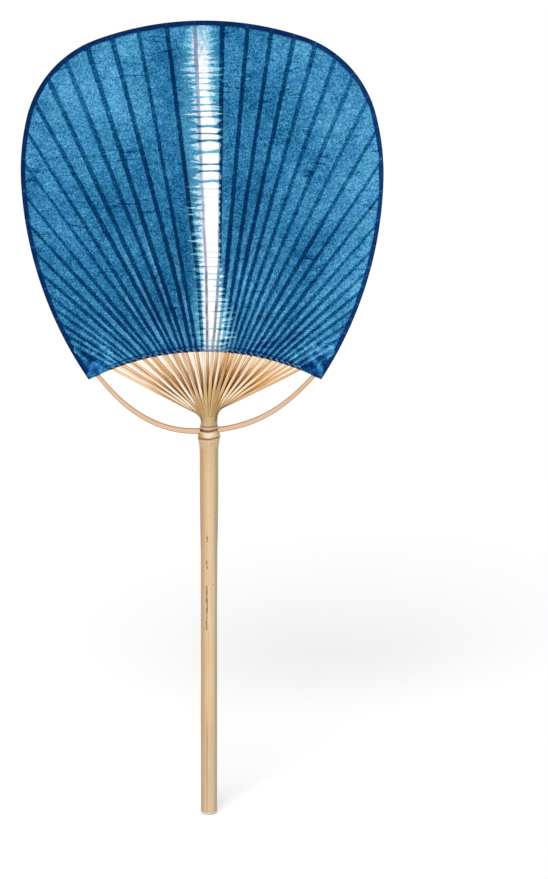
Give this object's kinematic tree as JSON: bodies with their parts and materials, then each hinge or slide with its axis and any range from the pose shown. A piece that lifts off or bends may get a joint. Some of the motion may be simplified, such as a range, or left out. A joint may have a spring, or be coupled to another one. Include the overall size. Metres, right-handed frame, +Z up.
{
  "type": "round hand fan",
  "caption": "Rigid round hand fan: split bamboo ribs spread from a round culm handle, held by a bent bow, covered in dyed cloth with a folded edging.",
  "frame": {"origin": "on the handle's axis at the culm's lower cut end, with the pale end coat just below it", "axes": "+Z up the handle, +X to the fan's right seen from its front, front face looks along -Y"},
  "size_m": [0.1964, 0.0122, 0.4413],
  "materials": {
    "bamboo": "smooth natural culm skin, satin",
    "split_bamboo": "split and shaved, matte",
    "willow": "whittled, matte",
    "coat": "pale gesso coat, satin",
    "thread": "twisted cotton, matte",
    "cloth": "dyed with a tied white stripe, pasted, matte",
    "edging": "pasted strip, matte"
  },
  "bodies": {
    "root": {"bamboo_handle": "bamboo", "handle_core": "willow", "end_coat": "coat", "bow": "split_bamboo", "thread_front": "thread", "thread_back": "thread", "bow_tie_left": "thread", "bow_tie_right": "thread", "front_cloth": "cloth", "back_cloth": "cloth", "rim_edging": "edging", "rib_01": "split_bamboo", "rib_02": "split_bamboo", "rib_03": "split_bamboo", "rib_04": "split_bamboo", "rib_05": "split_bamboo", "rib_06": "split_bamboo", "rib_07": "split_bamboo", "rib_08": "split_bamboo", "rib_09": "split_bamboo", "rib_10": "split_bamboo", "rib_11": "split_bamboo", "rib_12": "split_bamboo", "rib_13": "split_bamboo", "rib_14": "split_bamboo", "rib_15": "split_bamboo", "rib_16": "split_bamboo", "rib_17": "split_bamboo", "rib_18": "split_bamboo", "rib_19": "split_bamboo", "rib_20": "split_bamboo", "rib_21": "split_bamboo", "rib_22": "split_bamboo", "rib_23": "split_bamboo", "rib_24": "split_bamboo", "rib_25": "split_bamboo", "rib_26": "split_bamboo", "rib_27": "split_bamboo", "rib_28": "split_bamboo", "rib_29": "split_bamboo", "rib_30": "split_bamboo", "rib_31": "split_bamboo", "rib_32": "split_bamboo", "rib_33": "split_bamboo", "rib_34": "split_bamboo", "rib_35": "split_bamboo", "rib_36": "split_bamboo", "rib_37": "split_bamboo", "rib_38": "split_bamboo"}
  },
  "joints": []
}
